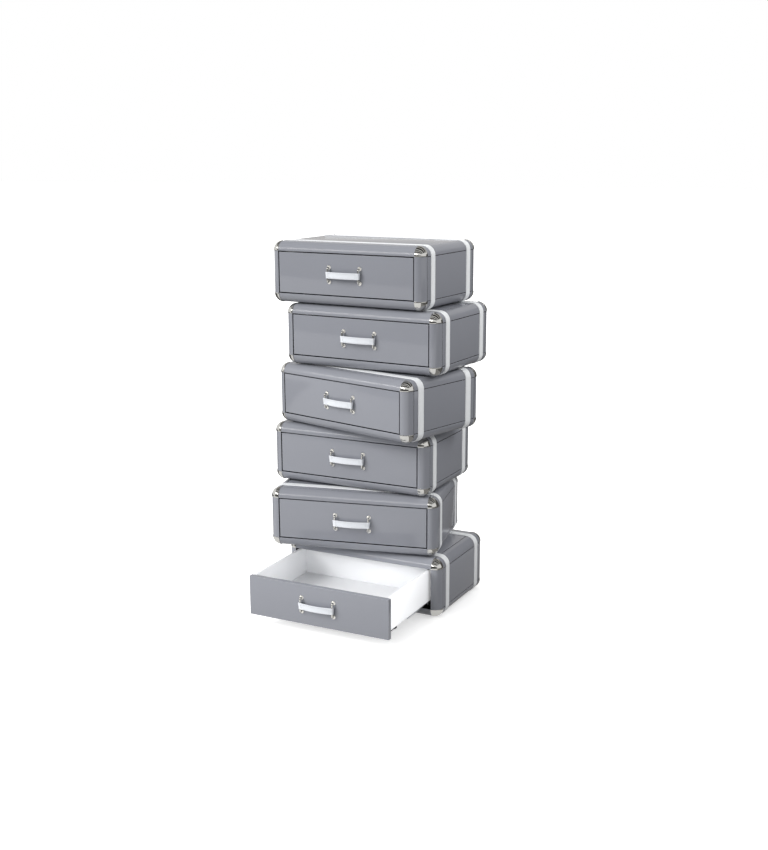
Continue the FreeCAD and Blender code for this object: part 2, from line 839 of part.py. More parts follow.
node(group("corner_caps", [in_case(f"caps_{number}", caps, number) for number in CASES]))
node(group("rail_bearers", [in_case(f"bearers_{number}", bearer_pair, number) for number in CASES]))
node(group("case_rails", [in_case(f"fixed_rails_{number}", case_rails, number) for number in CASES]))
node(group("stack_bolts", [on_joint(f"bolts_{number}", bolts, number) for number in bored]))
node(group("stack_spacers", [on_joint(f"spacers_{number}", spacers, number) for number in bored]))
node(group("floor_glides", floor_glides()))
doc.recompute()

for item in doc.Objects:
    if "Invalid" in item.State or "Error" in item.State:
        raise RuntimeError(f"{item.Name} failed: {item.State}")
for item in nodes:
    if item.Shape.isNull() or not item.Shape.isValid():
        raise RuntimeError(f"{item.Label} has no valid shape")

os.makedirs("parts", exist_ok=True)
for item in nodes:
    item.Shape.exportStep(f"parts/{item.Label}.step")
print(f"{len(nodes)} nodes, {sum(len(item.Shape.Solids) for item in nodes)} solids")
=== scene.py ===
"""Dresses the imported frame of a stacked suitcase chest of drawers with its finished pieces."""
import json
import math

import bmesh
import bpy
from mathutils import Matrix, Vector


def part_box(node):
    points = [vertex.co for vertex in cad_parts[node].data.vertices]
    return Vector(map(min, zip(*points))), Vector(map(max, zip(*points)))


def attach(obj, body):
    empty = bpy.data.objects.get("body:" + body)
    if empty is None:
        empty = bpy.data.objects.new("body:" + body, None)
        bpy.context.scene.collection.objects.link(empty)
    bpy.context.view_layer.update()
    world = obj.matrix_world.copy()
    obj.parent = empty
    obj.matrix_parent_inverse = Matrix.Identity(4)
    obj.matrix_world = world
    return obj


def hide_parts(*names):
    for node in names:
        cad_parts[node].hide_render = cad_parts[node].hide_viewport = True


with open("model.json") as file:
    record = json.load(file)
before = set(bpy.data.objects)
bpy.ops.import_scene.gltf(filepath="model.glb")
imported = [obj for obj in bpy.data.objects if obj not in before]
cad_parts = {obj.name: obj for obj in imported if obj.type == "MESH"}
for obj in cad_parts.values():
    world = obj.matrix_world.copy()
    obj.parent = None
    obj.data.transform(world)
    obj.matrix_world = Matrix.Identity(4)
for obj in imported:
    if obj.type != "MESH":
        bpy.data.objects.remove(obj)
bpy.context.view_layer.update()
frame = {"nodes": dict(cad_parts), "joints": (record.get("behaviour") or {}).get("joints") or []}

bl_info = {
    "name": "Suitcase Chest",
    "version": (1, 0, 0),
    "blender": (4, 5, 0),
    "location": "3D View > Sidebar > Chest",
    "description": "Builds a chest of drawers made of stacked suitcase-like cases",
    "category": "Object",
}

CASES = range(1, 7)
STACK = "stack"
RIGHT = Vector((1, 0, 0))
BACK = Vector((0, 1, 0))
UP = Vector((0, 0, 1))
QUARTER = math.pi / 2
WHITE = (1, 1, 1, 1)

# Points nearer than this, in metres, are one
TOUCHING = 0.000001
# Faces that meet at less than this angle shade as one
SMOOTH_ANGLE = math.radians(35)
# Steps round a quarter turn, a bend of thin rod, an eased edge and the eased edge of a small piece
ARC_STEPS = 16
BEND_STEPS = 8
EASE_STEPS = 3
FINE_STEPS = 2
# The mark on abraded faces, which the grey lacquer shows as a painted highlight,
# the size of the patches along them and the roughness that they reach
ABRADED_AND_HIGHLIT = "worn"
EDGE_PATCH = 0.012
RUBBED = 0.5
# How far a face of a strap or band leans before it counts as the edge
EDGEWISE = 0.3
# How much of the fine detail each noise keeps
NOISE_ROUGHNESS = 0.55


# Where each case and drawer stands, read from the frame

def slide(number):
    """The joint that a drawer slides on."""
    return next(j for j in frame["joints"] if j["name"] == f"drawer_{number}_slide")


def case_place(number):
    """The matrix from a case's own frame, which starts at the middle of its underside."""
    low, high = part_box(f"case_{number}_straps")
    middle = (low + high) / 2
    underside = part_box(f"case_{number}_edge_mouldings")[0].z
    axis = slide(number)["axis"]
    turn = math.atan2(axis[0], -axis[1])
    return Matrix.Translation((middle.x, middle.y, underside)) @ Matrix.Rotation(turn, 4, "Z")


def drawer_place(number):
    """The matrix from a case's own frame to its drawer's place, which may be drawn out at rest."""
    drawn = -slide(number)["range_m"][0]
    return case_place(number) @ Matrix.Translation((0, -drawn, 0))


# Properties that a user would change

def length(name, description, default):
    """A length in metres."""
    return bpy.props.FloatProperty(
        name=name, description=description, default=default, min=0, unit="LENGTH", precision=4
    )


def linear(code):
    """An sRGB hex colour as linear numbers."""
    channels = [int(code[i : i + 2], 16) / 255 for i in (1, 3, 5)]
    return [c / 12.92 if c <= 0.04045 else ((c + 0.055) / 1.055) ** 2.4 for c in channels]


def colour(name, description, code):
    """A colour given as sRGB hex."""
    return bpy.props.FloatVectorProperty(
        name=name, description=description, default=linear(code), min=0, max=1, subtype="COLOR"
    )


class ChestCaseSizes(bpy.types.PropertyGroup):
    """Sizes of a case's boards, mouldings, caps and straps."""

    width: length("Width", "Case width", 0.620)
    depth: length("Depth", "Case depth", 0.402)
    height: length("Height", "Case height", 0.216)
    radius: length("Moulding radius", "Radius of the quarter-round mouldings", 0.033)
    board: length("Board", "Thickness of the case boards", 0.018)
    groove: length("Groove", "Open joint between a board and its mouldings", 0.0020)
    board_easing: length("Board easing", "Rounding of the boards along the joints", 0.0005)
    easing: length("Easing", "Rounding of the mouldings along the joints", 0.0007)
    cap_fit: length("Cap fit", "Gap between a corner and its metal cap", 0.0001)
    cap_sheet: length("Cap sheet", "Thickness of a corner cap", 0.0015)
    cap_easing: length("Cap easing", "Rounding of a cap's rim", 0.0006)
    strap_setback: length("Strap setback", "From the case's front or back to a strap", 0.056)
    strap_width: length("Strap width", "Width of a strap", 0.029)
    strap_thickness: length("Strap thickness", "Thickness of a strap", 0.0018)
    strap_fit: length("Strap fit", "Gap between a strap and the case", 0.0001)
    strap_crease: length("Crease", "From a strap's edge to its pressed line", 0.0045)
    crease_depth: length("Crease depth", "Depth of the pressed line", 0.0005)


class ChestDrawerSizes(bpy.types.PropertyGroup):
    """Sizes of a drawer, its rails and its clips."""

    gap: length("Gap", "Gap round the drawer front", 0.004)
    front: length("Front", "Thickness of the drawer front", 0.018)
    easing: length("Easing", "Rounding of the drawer front", 0.0009)
    side_inset: length("Side inset", "From the end of the front to a side", 0.005)
    board: length("Board", "Thickness of the drawer's sides and back", 0.010)
    floor: length("Floor", "Thickness of the drawer's floor", 0.008)
    board_easing: length("Board easing", "Rounding of the drawer's boards and clips", 0.0012)
    side_base: length("Side base", "From the case's underside to the drawer's sides", 0.062)
    floor_base: length("Floor base", "From the case's underside to the drawer's floor", 0.069)
    back_clearance: length("Back clearance", "From the drawer's sides to the case's back", 0.004)
    back_inset: length("Back inset", "From the end of the sides to the drawer's back", 0.002)
    rail_width: length("Rail width", "Width of a rail", 0.030)
    rail_height: length("Rail height", "Height of a rail", 0.012)
    rail_sheet: length("Rail sheet", "Thickness of a rail's metal", 0.0015)
    rail_lip: length("Rail lip", "Width of a rail's lips", 0.004)
    rail_side_gap: length("Rail gap", "From a rail to the drawer's side", 0.001)
    rail_setback: length("Rail setback", "From the drawer front to a rail", 0.003)
    rail_rear_gap: length("Rail rear gap", "From a rail to the end of the sides", 0.009)
    clip_length: length("Clip length", "Length of a front clip", 0.057)
    clip_head: length("Clip head", "Length of a front clip's head", 0.020)
    clip_arm: length("Clip arm", "Depth of a front clip's arm", 0.005)
    clip_width: length("Clip width", "Width of a front clip", 0.009)
    clip_depth: length("Clip depth", "Depth of a front clip", 0.008)
    clip_inset: length("Clip inset", "From the drawer's side to a clip", 0.0005)


class ChestHandleSizes(bpy.types.PropertyGroup):
    """Sizes of a handle's band and fittings."""

    pitch: length("Pitch", "Between the two staples", 0.125)
    stud_pitch: length("Stud pitch", "Between the two legs of a staple", 0.050)
    standoff: length("Standoff", "From the drawer front to a staple's bar", 0.0095)
    rod: length("Rod radius", "Radius of a staple's rod", 0.0035)
    bend: length("Bend", "Radius of a staple's bends", 0.005)
    rose: length("Rose radius", "Radius of a domed rose", 0.008)
    rose_height: length("Rose height", "Height of a domed rose", 0.004)
    nut: length("Nut radius", "Radius of a nut", 0.0063)
    nut_height: length("Nut height", "Height of a nut", 0.004)
    band_height: length("Band height", "Height of the leather band", 0.022)
    band_thickness: length("Band thickness", "Thickness of the leather band", 0.0038)
    band_bow: length("Bow", "How far the band bows out", 0.014)
    band_fit: length("Band fit", "Gap between the band and a bar", 0.0002)
    band_easing: length("Band easing", "Rounding of the band's edges", 0.0012)
    stitch: length("Stitch", "Length of one stitch", 0.0036)
    stitch_gap: length("Stitch gap", "Between two stitches", 0.0012)
    stitch_inset: length("Stitch inset", "From the band's edge to its stitching", 0.0032)
    stitch_end: length("Stitch end", "From a bar to the stitches across the band", 0.0095)
    thread: length("Thread", "Radius of the thread", 0.0005)


class ChestFinishes(bpy.types.PropertyGroup):
    """Colours of the chest's finishes and of the floor."""

    lacquer: colour("Lacquer", "Grey lacquer of the cases", "#898B92")
    # Near black for the insides of the cases and the joints: painted shade
    inside: colour("Inside", "Dyed board inside the cases", "#0E0E0F")
    tray: colour("Drawer", "White lacquer of the drawer boxes", "#EDEEF0")
    leather: colour("Straps", "White leather of the straps", "#EAECEE")
    band: colour("Bands", "White leather of the handle bands", "#DADDE2")
    thread: colour("Thread", "Thread of the handle bands", "#C4C6C8")
    chrome: colour("Chrome", "Plated corner caps and staples", "#C9C8C4")
    nickel: colour("Nickel", "Plated roses of the handles", "#F3F1EA")
    zinc: colour("Zinc", "Plated rails and bolts", "#B4B8BC")
    nylon: colour("Nylon", "Moulded front clips and floor glides", "#1B1C1E")
    # The bearers' near black is painted shade inside the cases
    beech: colour("Beech", "Black-stained bearers inside the cases", "#171514")
    rubber: colour("Rubber", "Spacer discs", "#151515")
    floor: colour("Floor", "Studio floor, for the light it throws back", "#969696")


GROUPS = {
    "chest_case": ChestCaseSizes,
    "chest_drawer": ChestDrawerSizes,
    "chest_handle": ChestHandleSizes,
    "chest_finish": ChestFinishes,
}


# Shapes

def outline(bm, start, strokes):
    """Draw a closed outline and return its edges.

    A stroke is a point to draw a line to, or an arc: its centre, axis, angle and steps."""
    pen = bm.verts.new(start)
    for point, *arc in strokes:
        if arc:
            axis, angle, steps = arc
            made = bmesh.ops.spin(
                bm, geom=[pen], cent=point, axis=axis, angle=angle, steps=steps
            )["geom_last"]
        else:
            made = bmesh.ops.extrude_vert_indiv(bm, verts=[pen])["verts"]
            made[0].co = point
        pen = next(item for item in made if isinstance(item, bmesh.types.BMVert))
    bmesh.ops.remove_doubles(bm, verts=bm.verts, dist=TOUCHING)
    ends = [vert for vert in bm.verts if len(vert.link_edges) == 1]
    if ends:
        bm.edges.new(ends)
    return bm.edges[:]


def filled(bm, edges):
    """The face inside a closed outline."""
    return bmesh.ops.contextual_create(bm, geom=edges)["faces"][0]


def turned(start, strokes):
    """A solid that a filled outline leaves as it goes a quarter turn about Z."""
    bm = bmesh.new()
    face = filled(bm, outline(bm, start, strokes))
    geom = [face, *face.edges, *face.verts]
    bmesh.ops.spin(bm, geom=geom, cent=(0, 0, 0), axis=UP, angle=QUARTER, steps=ARC_STEPS)
    tidy(bm)
    return bm


def pushed(start, strokes, by):
    """A solid that a filled outline leaves as it goes straight."""
    bm = bmesh.new()
    face = filled(bm, outline(bm, start, strokes))
    made = bmesh.ops.extrude_face_region(bm, geom=[face], use_keep_orig=True)["geom"]
    bmesh.ops.translate(bm, vec=by, verts=[g for g in made if isinstance(g, bmesh.types.BMVert)])
    tidy(bm)
    return bm


def bar_of(points, by):
    """A solid that an outline of straight lines leaves as it goes straight."""
    start, *others = points
    return pushed(start, [(point,) for point in others], by)


def tidy(bm):
    """Merge what meets, drop what has no area and turn every face outwards."""
    bmesh.ops.remove_doubles(bm, verts=bm.verts, dist=TOUCHING)
    bmesh.ops.dissolve_degenerate(bm, dist=TOUCHING, edges=bm.edges)
    bmesh.ops.recalc_face_normals(bm, faces=bm.faces)


def worn_layer(bm):
    """The layer that marks rubbed faces, which the grey lacquer shows as a painted highlight;
    making it lets go of any faces held before.
    """
    layers = bm.faces.layers.float
    return layers.get(ABRADED_AND_HIGHLIT) or layers.new(ABRADED_AND_HIGHLIT)


def wear(bm, faces):
    """Mark faces that hands and cloths have rubbed, for the finishes to show, and for the grey
    lacquer to show as a painted highlight.
    """
    layer = worn_layer(bm)
    for face in faces:
        face[layer] = 1


def eased(bm, edges, size, steps=EASE_STEPS):
    """Round edges over; the roundings are marked as abraded, and the grey lacquer shows them as a
    painted highlight.
    """
    worn_layer(bm)
    made = bmesh.ops.bevel(
        bm, geom=list(edges), offset=size, segments=steps, profile=0.5, affect="EDGES", material=-1
    )
    wear(bm, made["faces"])


def slab(low, high):
    """A plain board between two corners."""
    bm = bmesh.new()
    low, high = Vector(low), Vector(high)
    bmesh.ops.create_cube(bm, size=1)
    bmesh.ops.scale(bm, vec=high - low, verts=bm.verts)
    bmesh.ops.translate(bm, vec=(low + high) / 2, verts=bm.verts)
    return bm


def facing_edges(bm, direction):
    """The edges of the face that points in a direction."""
    face = max(bm.faces, key=lambda f: f.normal.dot(direction))
    return list(face.edges)


def moved(bm, spot, turn=Matrix()):
    """A shape turned, then moved to a spot."""
    bm.transform(Matrix.Translation(spot) @ turn)
    return bm


def attitude(across, up, along):
    """The rotation that takes X, Y and Z to three directions.

    The first two change places where that keeps the shape from being mirrored."""
    if across.cross(up).dot(along) < 0:
        across, up = up, across
    return Matrix((across, up, along)).transposed().to_4x4()


def joined(parts):
    """Several shapes as one."""
    whole = bmesh.new()
    for part in parts:
        spare = bpy.data.meshes.new("spare")
        part.to_mesh(spare)
        part.free()
        whole.from_mesh(spare)
        bpy.data.meshes.remove(spare)
    return whole


class Sweep:
    """Carries an outline along straight runs and bends and leaves its skin behind."""

    def __init__(self, bm, edges):
        self.bm = bm
        self.edges = list(edges)

    def run(self, by):
        """Go straight."""
        made = bmesh.ops.extrude_edge_only(self.bm, edges=self.edges)["geom"]
        verts = {g for g in made if isinstance(g, bmesh.types.BMVert)}
        self.edges = [
            g
            for g in made
            if isinstance(g, bmesh.types.BMEdge) and all(v in verts for v in g.verts)
        ]
        bmesh.ops.translate(self.bm, vec=by, verts=list(verts))
        return self

    def bend(self, centre, axis, angle, steps=ARC_STEPS):
        """Go round a bend."""
        verts = list({v for edge in self.edges for v in edge.verts})
        made = bmesh.ops.spin(
            self.bm, geom=verts + self.edges, cent=centre, axis=axis, angle=angle, steps=steps
        )["geom_last"]
        self.edges = [g for g in made if isinstance(g, bmesh.types.BMEdge)]
        return self

    def cap(self):
        """Close the end with a face."""
        bmesh.ops.contextual_create(self.bm, geom=self.edges)
        return self


# Pieces

def piece(name, bm, matrix, finishes, body, slot, *nodes):
    """Make a piece of a shape: its place in its mesh, its finishes, its body and its nodes."""
    mesh = bpy.data.meshes.new(name)
    bm.to_mesh(mesh)
    bm.free()
    mesh.transform(matrix)
    for face in mesh.polygons:
        face.use_smooth = True
    mesh.set_sharp_from_angle(angle=SMOOTH_ANGLE)
    for finish in finishes:
        mesh.materials.append(bpy.data.materials[finish])
    made = bpy.data.objects.new(name, mesh)
    bpy.context.scene.collection.objects.link(made)
    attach(made, body)
    if nodes:
        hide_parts(*nodes)


def case_pieces(scene, name, shape, finishes, slot, node):
    """Make one piece on each case; the node's name may hold the case's number."""
    for number in CASES:
        piece(
            f"case_{number}_{name}", shape(scene), case_place(number),
            finishes, STACK, slot, node.format(number),
        )
    return {"FINISHED"}


def drawer_pieces(scene, *rows):
    """Make each drawer's pieces from rows of name, shape, finishes, slot and nodes replaced."""
    for number in CASES:
        drawer = f"drawer_{number}"
        for name, shape, finishes, slot, *nodes in rows:
            piece(
                f"{drawer}_{name}", shape(scene), drawer_place(number),
                finishes, drawer, slot, *(f"{drawer}_{node}" for node in nodes),
            )
    return {"FINISHED"}


# Finishes

def add(tree, kind, inputs=None, **settings):
    """Add one shader node with its settings, and its inputs as values or as sockets to link.

    Returns its outputs."""
    made = tree.nodes.new(f"ShaderNode{kind}")
    for name, value in settings.items():
        setattr(made, name, value)
    for name, value in (inputs or {}).items():
        if isinstance(value, bpy.types.NodeSocket):
            tree.links.new(value, made.inputs[name])
        else:
            made.inputs[name].default_value = value
    return made.outputs


def new_material(name):
    """An empty material and its node tree."""
    material = bpy.data.materials.new(name)
    material.use_nodes = True
    material.node_tree.nodes.clear()
    return material, material.node_tree


def tone(rgb, factor):
    """A colour made lighter or darker."""
    return [*(min(1, c * factor) for c in rgb), 1]


def surface(name, rgb, shader, mottle, rough, grain, squeeze=(1, 1, 1), pebbled=False, worn=1.0):
    """A finish with patches of tone, uneven gloss, a fine relief and marked edges: rubbed edges,
    and on the grey lacquer a painted highlight.

    mottle: size of the patches in metres and their change of tone; rough: size of the smears,
    least and most roughness; grain: size and height of the relief; squeeze: below one along an
    axis draws the pattern out that way; pebbled: a relief of closed cells; worn:
    the tone of the marked edges against the rest, which is rubbed edges, and on the grey lacquer
    also a painted highlight along the roundings."""
    _, tree = new_material(name)
    spot = add(tree, "TexCoord")["Object"]
    place = add(tree, "Mapping", {"Vector": spot, "Scale": squeeze})["Vector"]
    soft = {"Vector": place, "Roughness": NOISE_ROUGHNESS}
    patches = add(tree, "TexNoise", {**soft, "Scale": 1 / mottle[0], "Detail": 3})["Fac"]
    smears = add(tree, "TexNoise", {**soft, "Scale": 1 / rough[0], "Detail": 4})["Fac"]
    edge_patches = add(tree, "TexNoise", {**soft, "Vector": spot, "Scale": 1 / EDGE_PATCH, "Detail": 4})["Fac"]
    # Patches of tone, with the marked edges over them: rubbed edges, and on the grey lacquer a
    # painted highlight
    tones = {"A": tone(rgb, 1 - mottle[1]), "B": tone(rgb, 1 + mottle[1])}
    tint = add(tree, "Mix", {"Factor": patches, **tones}, data_type="RGBA")["Result"]
    edges = add(tree, "Attribute", attribute_name=ABRADED_AND_HIGHLIT)["Fac"]
    abraded_and_highlit_mask = add(tree, "Math", {0: edges, 1: edge_patches}, operation="MULTIPLY")["Value"]
    tones = {"A": tint, "B": tone(rgb, worn)}
    shown = add(tree, "Mix", {"Factor": abraded_and_highlit_mask, **tones}, data_type="RGBA")["Result"]
    # Smears of gloss, dulled where rubbed
    limits = {"To Min": rough[1], "To Max": rough[2]}
    gloss = add(tree, "MapRange", {"Value": smears, **limits})["Result"]
    dulled = add(tree, "Math", {0: abraded_and_highlit_mask, 1: RUBBED}, operation="MULTIPLY")["Value"]
    uneven = add(tree, "Math", {0: gloss, 1: dulled}, operation="MAXIMUM")["Value"]
    # Relief
    if pebbled:
        height = add(tree, "TexVoronoi", {"Vector": place, "Scale": 1 / grain[0]})["Distance"]
    else:
        height = add(tree, "TexNoise", {**soft, "Scale": 1 / grain[0], "Detail": 2})["Fac"]
    relief = add(tree, "Bump", {"Strength": 1.0, "Distance": grain[1], "Height": height})["Normal"]
    coat = {"Base Color": shown, "Roughness": uneven, "Normal": relief, **shader}
    add(tree, "OutputMaterial", {"Surface": add(tree, "BsdfPrincipled", coat)["BSDF"]})


class CHEST_OT_finishes(bpy.types.Operator):
    """Make the finishes of the chest"""

    bl_idname = "chest.finishes"
    bl_label = "Finishes"

    def execute(self, context):
        colours = context.scene.chest_finish
        # Two-pack lacquer on board: a soft gloss, the faint ripple that spraying leaves, and
        # pale edges, partly rubbed and partly a painted highlight along the roundings.
        surface(
            "grey_sprayed_lacquer", colours.lacquer, {"IOR": 1.48}, mottle=(0.11, 0.025),
            rough=(0.07, 0.055, 0.125), grain=(0.004, 0.00001), worn=1.3,
        )
        # Near-black board as painted shade: a dull, fibrous dark that shows only inside and in the
        # joints, where the case lies in shade.
        surface(
            "shade_black_board", colours.inside, {"IOR": 1.45, "Specular IOR Level": 0.12},
            mottle=(0.02, 0.15), rough=(0.02, 0.75, 0.9), grain=(0.0015, 0.00015),
        )
        # White satin lacquer: clean, with a broad soft sheen and edges greyed a little by handling.
        surface(
            "white_satin_lacquer", colours.tray, {"IOR": 1.48}, mottle=(0.12, 0.012),
            rough=(0.06, 0.30, 0.42), grain=(0.0035, 0.00002), worn=0.94,
        )
        # Coated cowhide: a pebbled grain, drawn at twice its real size so that it shows, a low
        # sheen that changes along the strap, and edges greyed where they rub.
        surface(
            "white_coated_cowhide", colours.leather, {"IOR": 1.46, "Sheen Weight": 0.1},
            mottle=(0.022, 0.045), rough=(0.015, 0.38, 0.58), grain=(0.0022, 0.00022),
            pebbled=True, worn=0.82,
        )
        # Bridle leather: smoother and closer than the straps, waxed, with darkened edges.
        surface(
            "white_bridle_leather", colours.band, {"IOR": 1.46, "Sheen Weight": 0.1},
            mottle=(0.014, 0.04), rough=(0.01, 0.34, 0.50), grain=(0.0015, 0.0001),
            pebbled=True, worn=0.85,
        )
        # Waxed linen thread: darker than the hide, with the twist of its plies.
        surface(
            "waxed_linen_thread", colours.thread, {"IOR": 1.45},
            mottle=(0.002, 0.12), rough=(0.004, 0.45, 0.6), grain=(0.0006, 0.0001),
        )
        # Bright chrome plate over polished brass: mirror-like, with faint hazy smears.
        surface(
            "polished_chrome_plate", colours.chrome, {"Metallic": 1.0},
            mottle=(0.02, 0.03), rough=(0.010, 0.03, 0.11), grain=(0.006, 0.00001),
        )
        # Nickel plate with a satin polish: a soft bright metal without sharp reflections.
        surface(
            "satin_nickel_plate", colours.nickel, {"Metallic": 1.0},
            mottle=(0.005, 0.05), rough=(0.004, 0.24, 0.34), grain=(0.002, 0.00001),
        )
        # Zinc-plated rolled steel: bright but hazy, with long rolling marks.
        surface(
            "zinc_plated_steel", colours.zinc, {"Metallic": 1.0}, mottle=(0.003, 0.14),
            rough=(0.005, 0.26, 0.46), grain=(0.0012, 0.00004), squeeze=(1, 0.06, 1),
        )
        # Glass-filled nylon as moulded: a dull fine texture.
        surface(
            "moulded_black_nylon", colours.nylon, {"IOR": 1.53}, mottle=(0.01, 0.08),
            rough=(0.008, 0.5, 0.65), grain=(0.0008, 0.00005), worn=1.4,
        )
        # Beech coloured black as painted shade inside the cases: dull, with long grain.
        surface(
            "shade_black_beech", colours.beech, {"IOR": 1.45}, mottle=(0.004, 0.35),
            rough=(0.01, 0.5, 0.65), grain=(0.0012, 0.00012), squeeze=(1, 0.08, 1),
        )
        # Cut rubber sheet: black and matt.
        surface(
            "cut_black_rubber", colours.rubber, {"IOR": 1.52},
            mottle=(0.008, 0.12), rough=(0.006, 0.8, 0.95), grain=(0.0009, 0.0001),
        )
        return {"FINISHED"}


# The case

# Lacquer outside, and near black as painted shade inside and in the joints
CASE_FINISHES = ["grey_sprayed_lacquer", "shade_black_board"]
LACQUERED, SHADE_BLACK = range(2)
# How far a board's face leans outwards before it is lacquered
OUTWARDS = 0.05


def core(case):
    """Half the width and depth between the mouldings' centres, and the heights of those centres."""
    return (
        case.width / 2 - case.radius,
        case.depth / 2 - case.radius,
        case.radius,
        case.height - case.radius,
    )


class CHEST_OT_boards(bpy.types.Operator):
    """Make the five boards of each case"""

    bl_idname = "chest.boards"
    bl_label = "Case Boards"

    def execute(self, context):
        return case_pieces(
            context.scene, "boards", self.boards, CASE_FINISHES, "grey_lacquer", "case_{}_carcass"
        )

    def boards(self, scene):
        """All five boards, lacquered outside, with painted shade in near black inside and on the
        edges in the open joints round them.
        """
        size = scene.chest_case
        x, y, low, high = core(size)
        x, y = x - size.groove, y - size.groove
        low, high = low + size.groove, high - size.groove
        wide, deep = size.width / 2, size.depth / 2
        plans = [
            (UP, (-x, -y, size.height - size.board), (x, y, size.height)),
            (-UP, (-x, -y, 0), (x, y, size.board)),
            (-RIGHT, (-wide, -y, low), (size.board - wide, y, high)),
            (RIGHT, (wide - size.board, -y, low), (wide, y, high)),
            (BACK, (-x, deep - size.board, low), (x, deep, high)),
        ]
        parts = []
        for outward, start, end in plans:
            board = slab(start, end)
            eased(board, facing_edges(board, outward), size.board_easing)
            board.normal_update()
            for face in board.faces:
                # Faces that don't lean outwards get near black as painted shade
                shows = face.normal.dot(outward) > OUTWARDS
                face.material_index = LACQUERED if shows else SHADE_BLACK
            parts.append(board)
        return joined(parts)


class CHEST_OT_mouldings(bpy.types.Operator):
    """Make the quarter-round bars and the corner posts of each case"""

    bl_idname = "chest.mouldings"
    bl_label = "Edge Mouldings"

    def execute(self, context):
        return case_pieces(
            context.scene, "mouldings", self.mouldings,
            CASE_FINISHES, "grey_lacquer", "case_{}_edge_mouldings",
        )

    def bar(self, size, reach):
        """A quarter-round bar along Z in the X-Y quadrant."""
        strokes = [((size.radius, 0, 0),), ((0, 0, 0), UP, QUARTER, ARC_STEPS)]
        return self.finished(pushed((0, 0, 0), strokes, UP * reach), size, reach)

    def post(self, size):
        """A quarter-round post along Z with round ends."""
        _, _, low, high = core(size)
        strokes = [
            ((0, 0, low), -BACK, QUARTER, ARC_STEPS),
            ((size.radius, 0, high),),
            ((0, 0, high), -BACK, QUARTER, ARC_STEPS),
        ]
        return self.finished(turned((0, 0, 0), strokes), size, high - low)

    def finished(self, bm, size, reach):
        """Ease the two long edges of the rounding, and paint the flats that meet other boards near
        black as painted shade.
        """
        def on_flat(spot):
            return min(abs(spot.x), abs(spot.y)) < TOUCHING

        long_edges = [
            edge
            for edge in bm.edges
            if abs((edge.verts[0].co - edge.verts[1].co).z) > reach / 2
            and on_flat(edge.verts[0].co)
            and edge.verts[0].co.xy.length > size.radius / 2
        ]
        eased(bm, long_edges, size.easing)
        bm.normal_update()
        for face in bm.faces:
            broad = face.calc_area() > size.radius ** 2 / 2
            hidden = broad and on_flat(face.calc_center_median())
            # The flats get near black as painted shade
            face.material_index = SHADE_BLACK if hidden else LACQUERED
        return bm

    def mouldings(self, scene):
        """Eight bars and four posts in place."""
        size = scene.chest_case
        x, y, low, high = core(size)
        parts = []
        for up, z in ((-1, low), (1, high)):
            for out in (-1, 1):
                turn = attitude(BACK * out, UP * up, RIGHT)
                parts.append(moved(self.bar(size, 2 * x), (-x, out * y, z), turn))
                turn = attitude(RIGHT * out, UP * up, BACK)
                parts.append(moved(self.bar(size, 2 * y), (out * x, -y, z), turn))
        for right in (-1, 1):
            for back in (-1, 1):
                turn = attitude(RIGHT * right, BACK * back, UP)
                parts.append(moved(self.post(size), (right * x, back * y, 0), turn))
        return joined(parts)


class CHEST_OT_corner_caps(bpy.types.Operator):
    """Make the eight corner caps of each case"""

    bl_idname = "chest.corner_caps"
    bl_label = "Corner Caps"

    def execute(self, context):
        return case_pieces(
            context.scene, "corner_caps", self.caps,
            ["polished_chrome_plate"], "chrome_plate", "corner_caps",
        )

    def cap(self, size):
        """An eighth of a ball, pressed from sheet, with an eased rim."""
        inner = size.radius + size.cap_fit
        outer = inner + size.cap_sheet
        strokes = [
            ((outer, 0, 0),),
            ((0, 0, 0), -BACK, QUARTER, ARC_STEPS),
            ((0, 0, inner),),
            ((0, 0, 0), BACK, QUARTER, ARC_STEPS),
        ]
        bm = turned((inner, 0, 0), strokes)
        rim = [
            edge
            for edge in bm.edges
            if len(edge.link_faces) == 2
            and edge.calc_face_angle(0) > QUARTER / 2
            and all(v.co.length > (inner + outer) / 2 for v in edge.verts)
        ]
        eased(bm, rim, size.cap_easing, FINE_STEPS)
        return bm

    def caps(self, scene):
        """Eight caps in place."""
        size = scene.chest_case
        x, y, low, high = core(size)
        parts = []
        for up, z in ((-1, low), (1, high)):
            for right in (-1, 1):
                for back in (-1, 1):
                    turn = attitude(RIGHT * right, BACK * back, UP * up)
                    parts.append(moved(self.cap(size), (right * x, back * y, z), turn))
        return joined(parts)


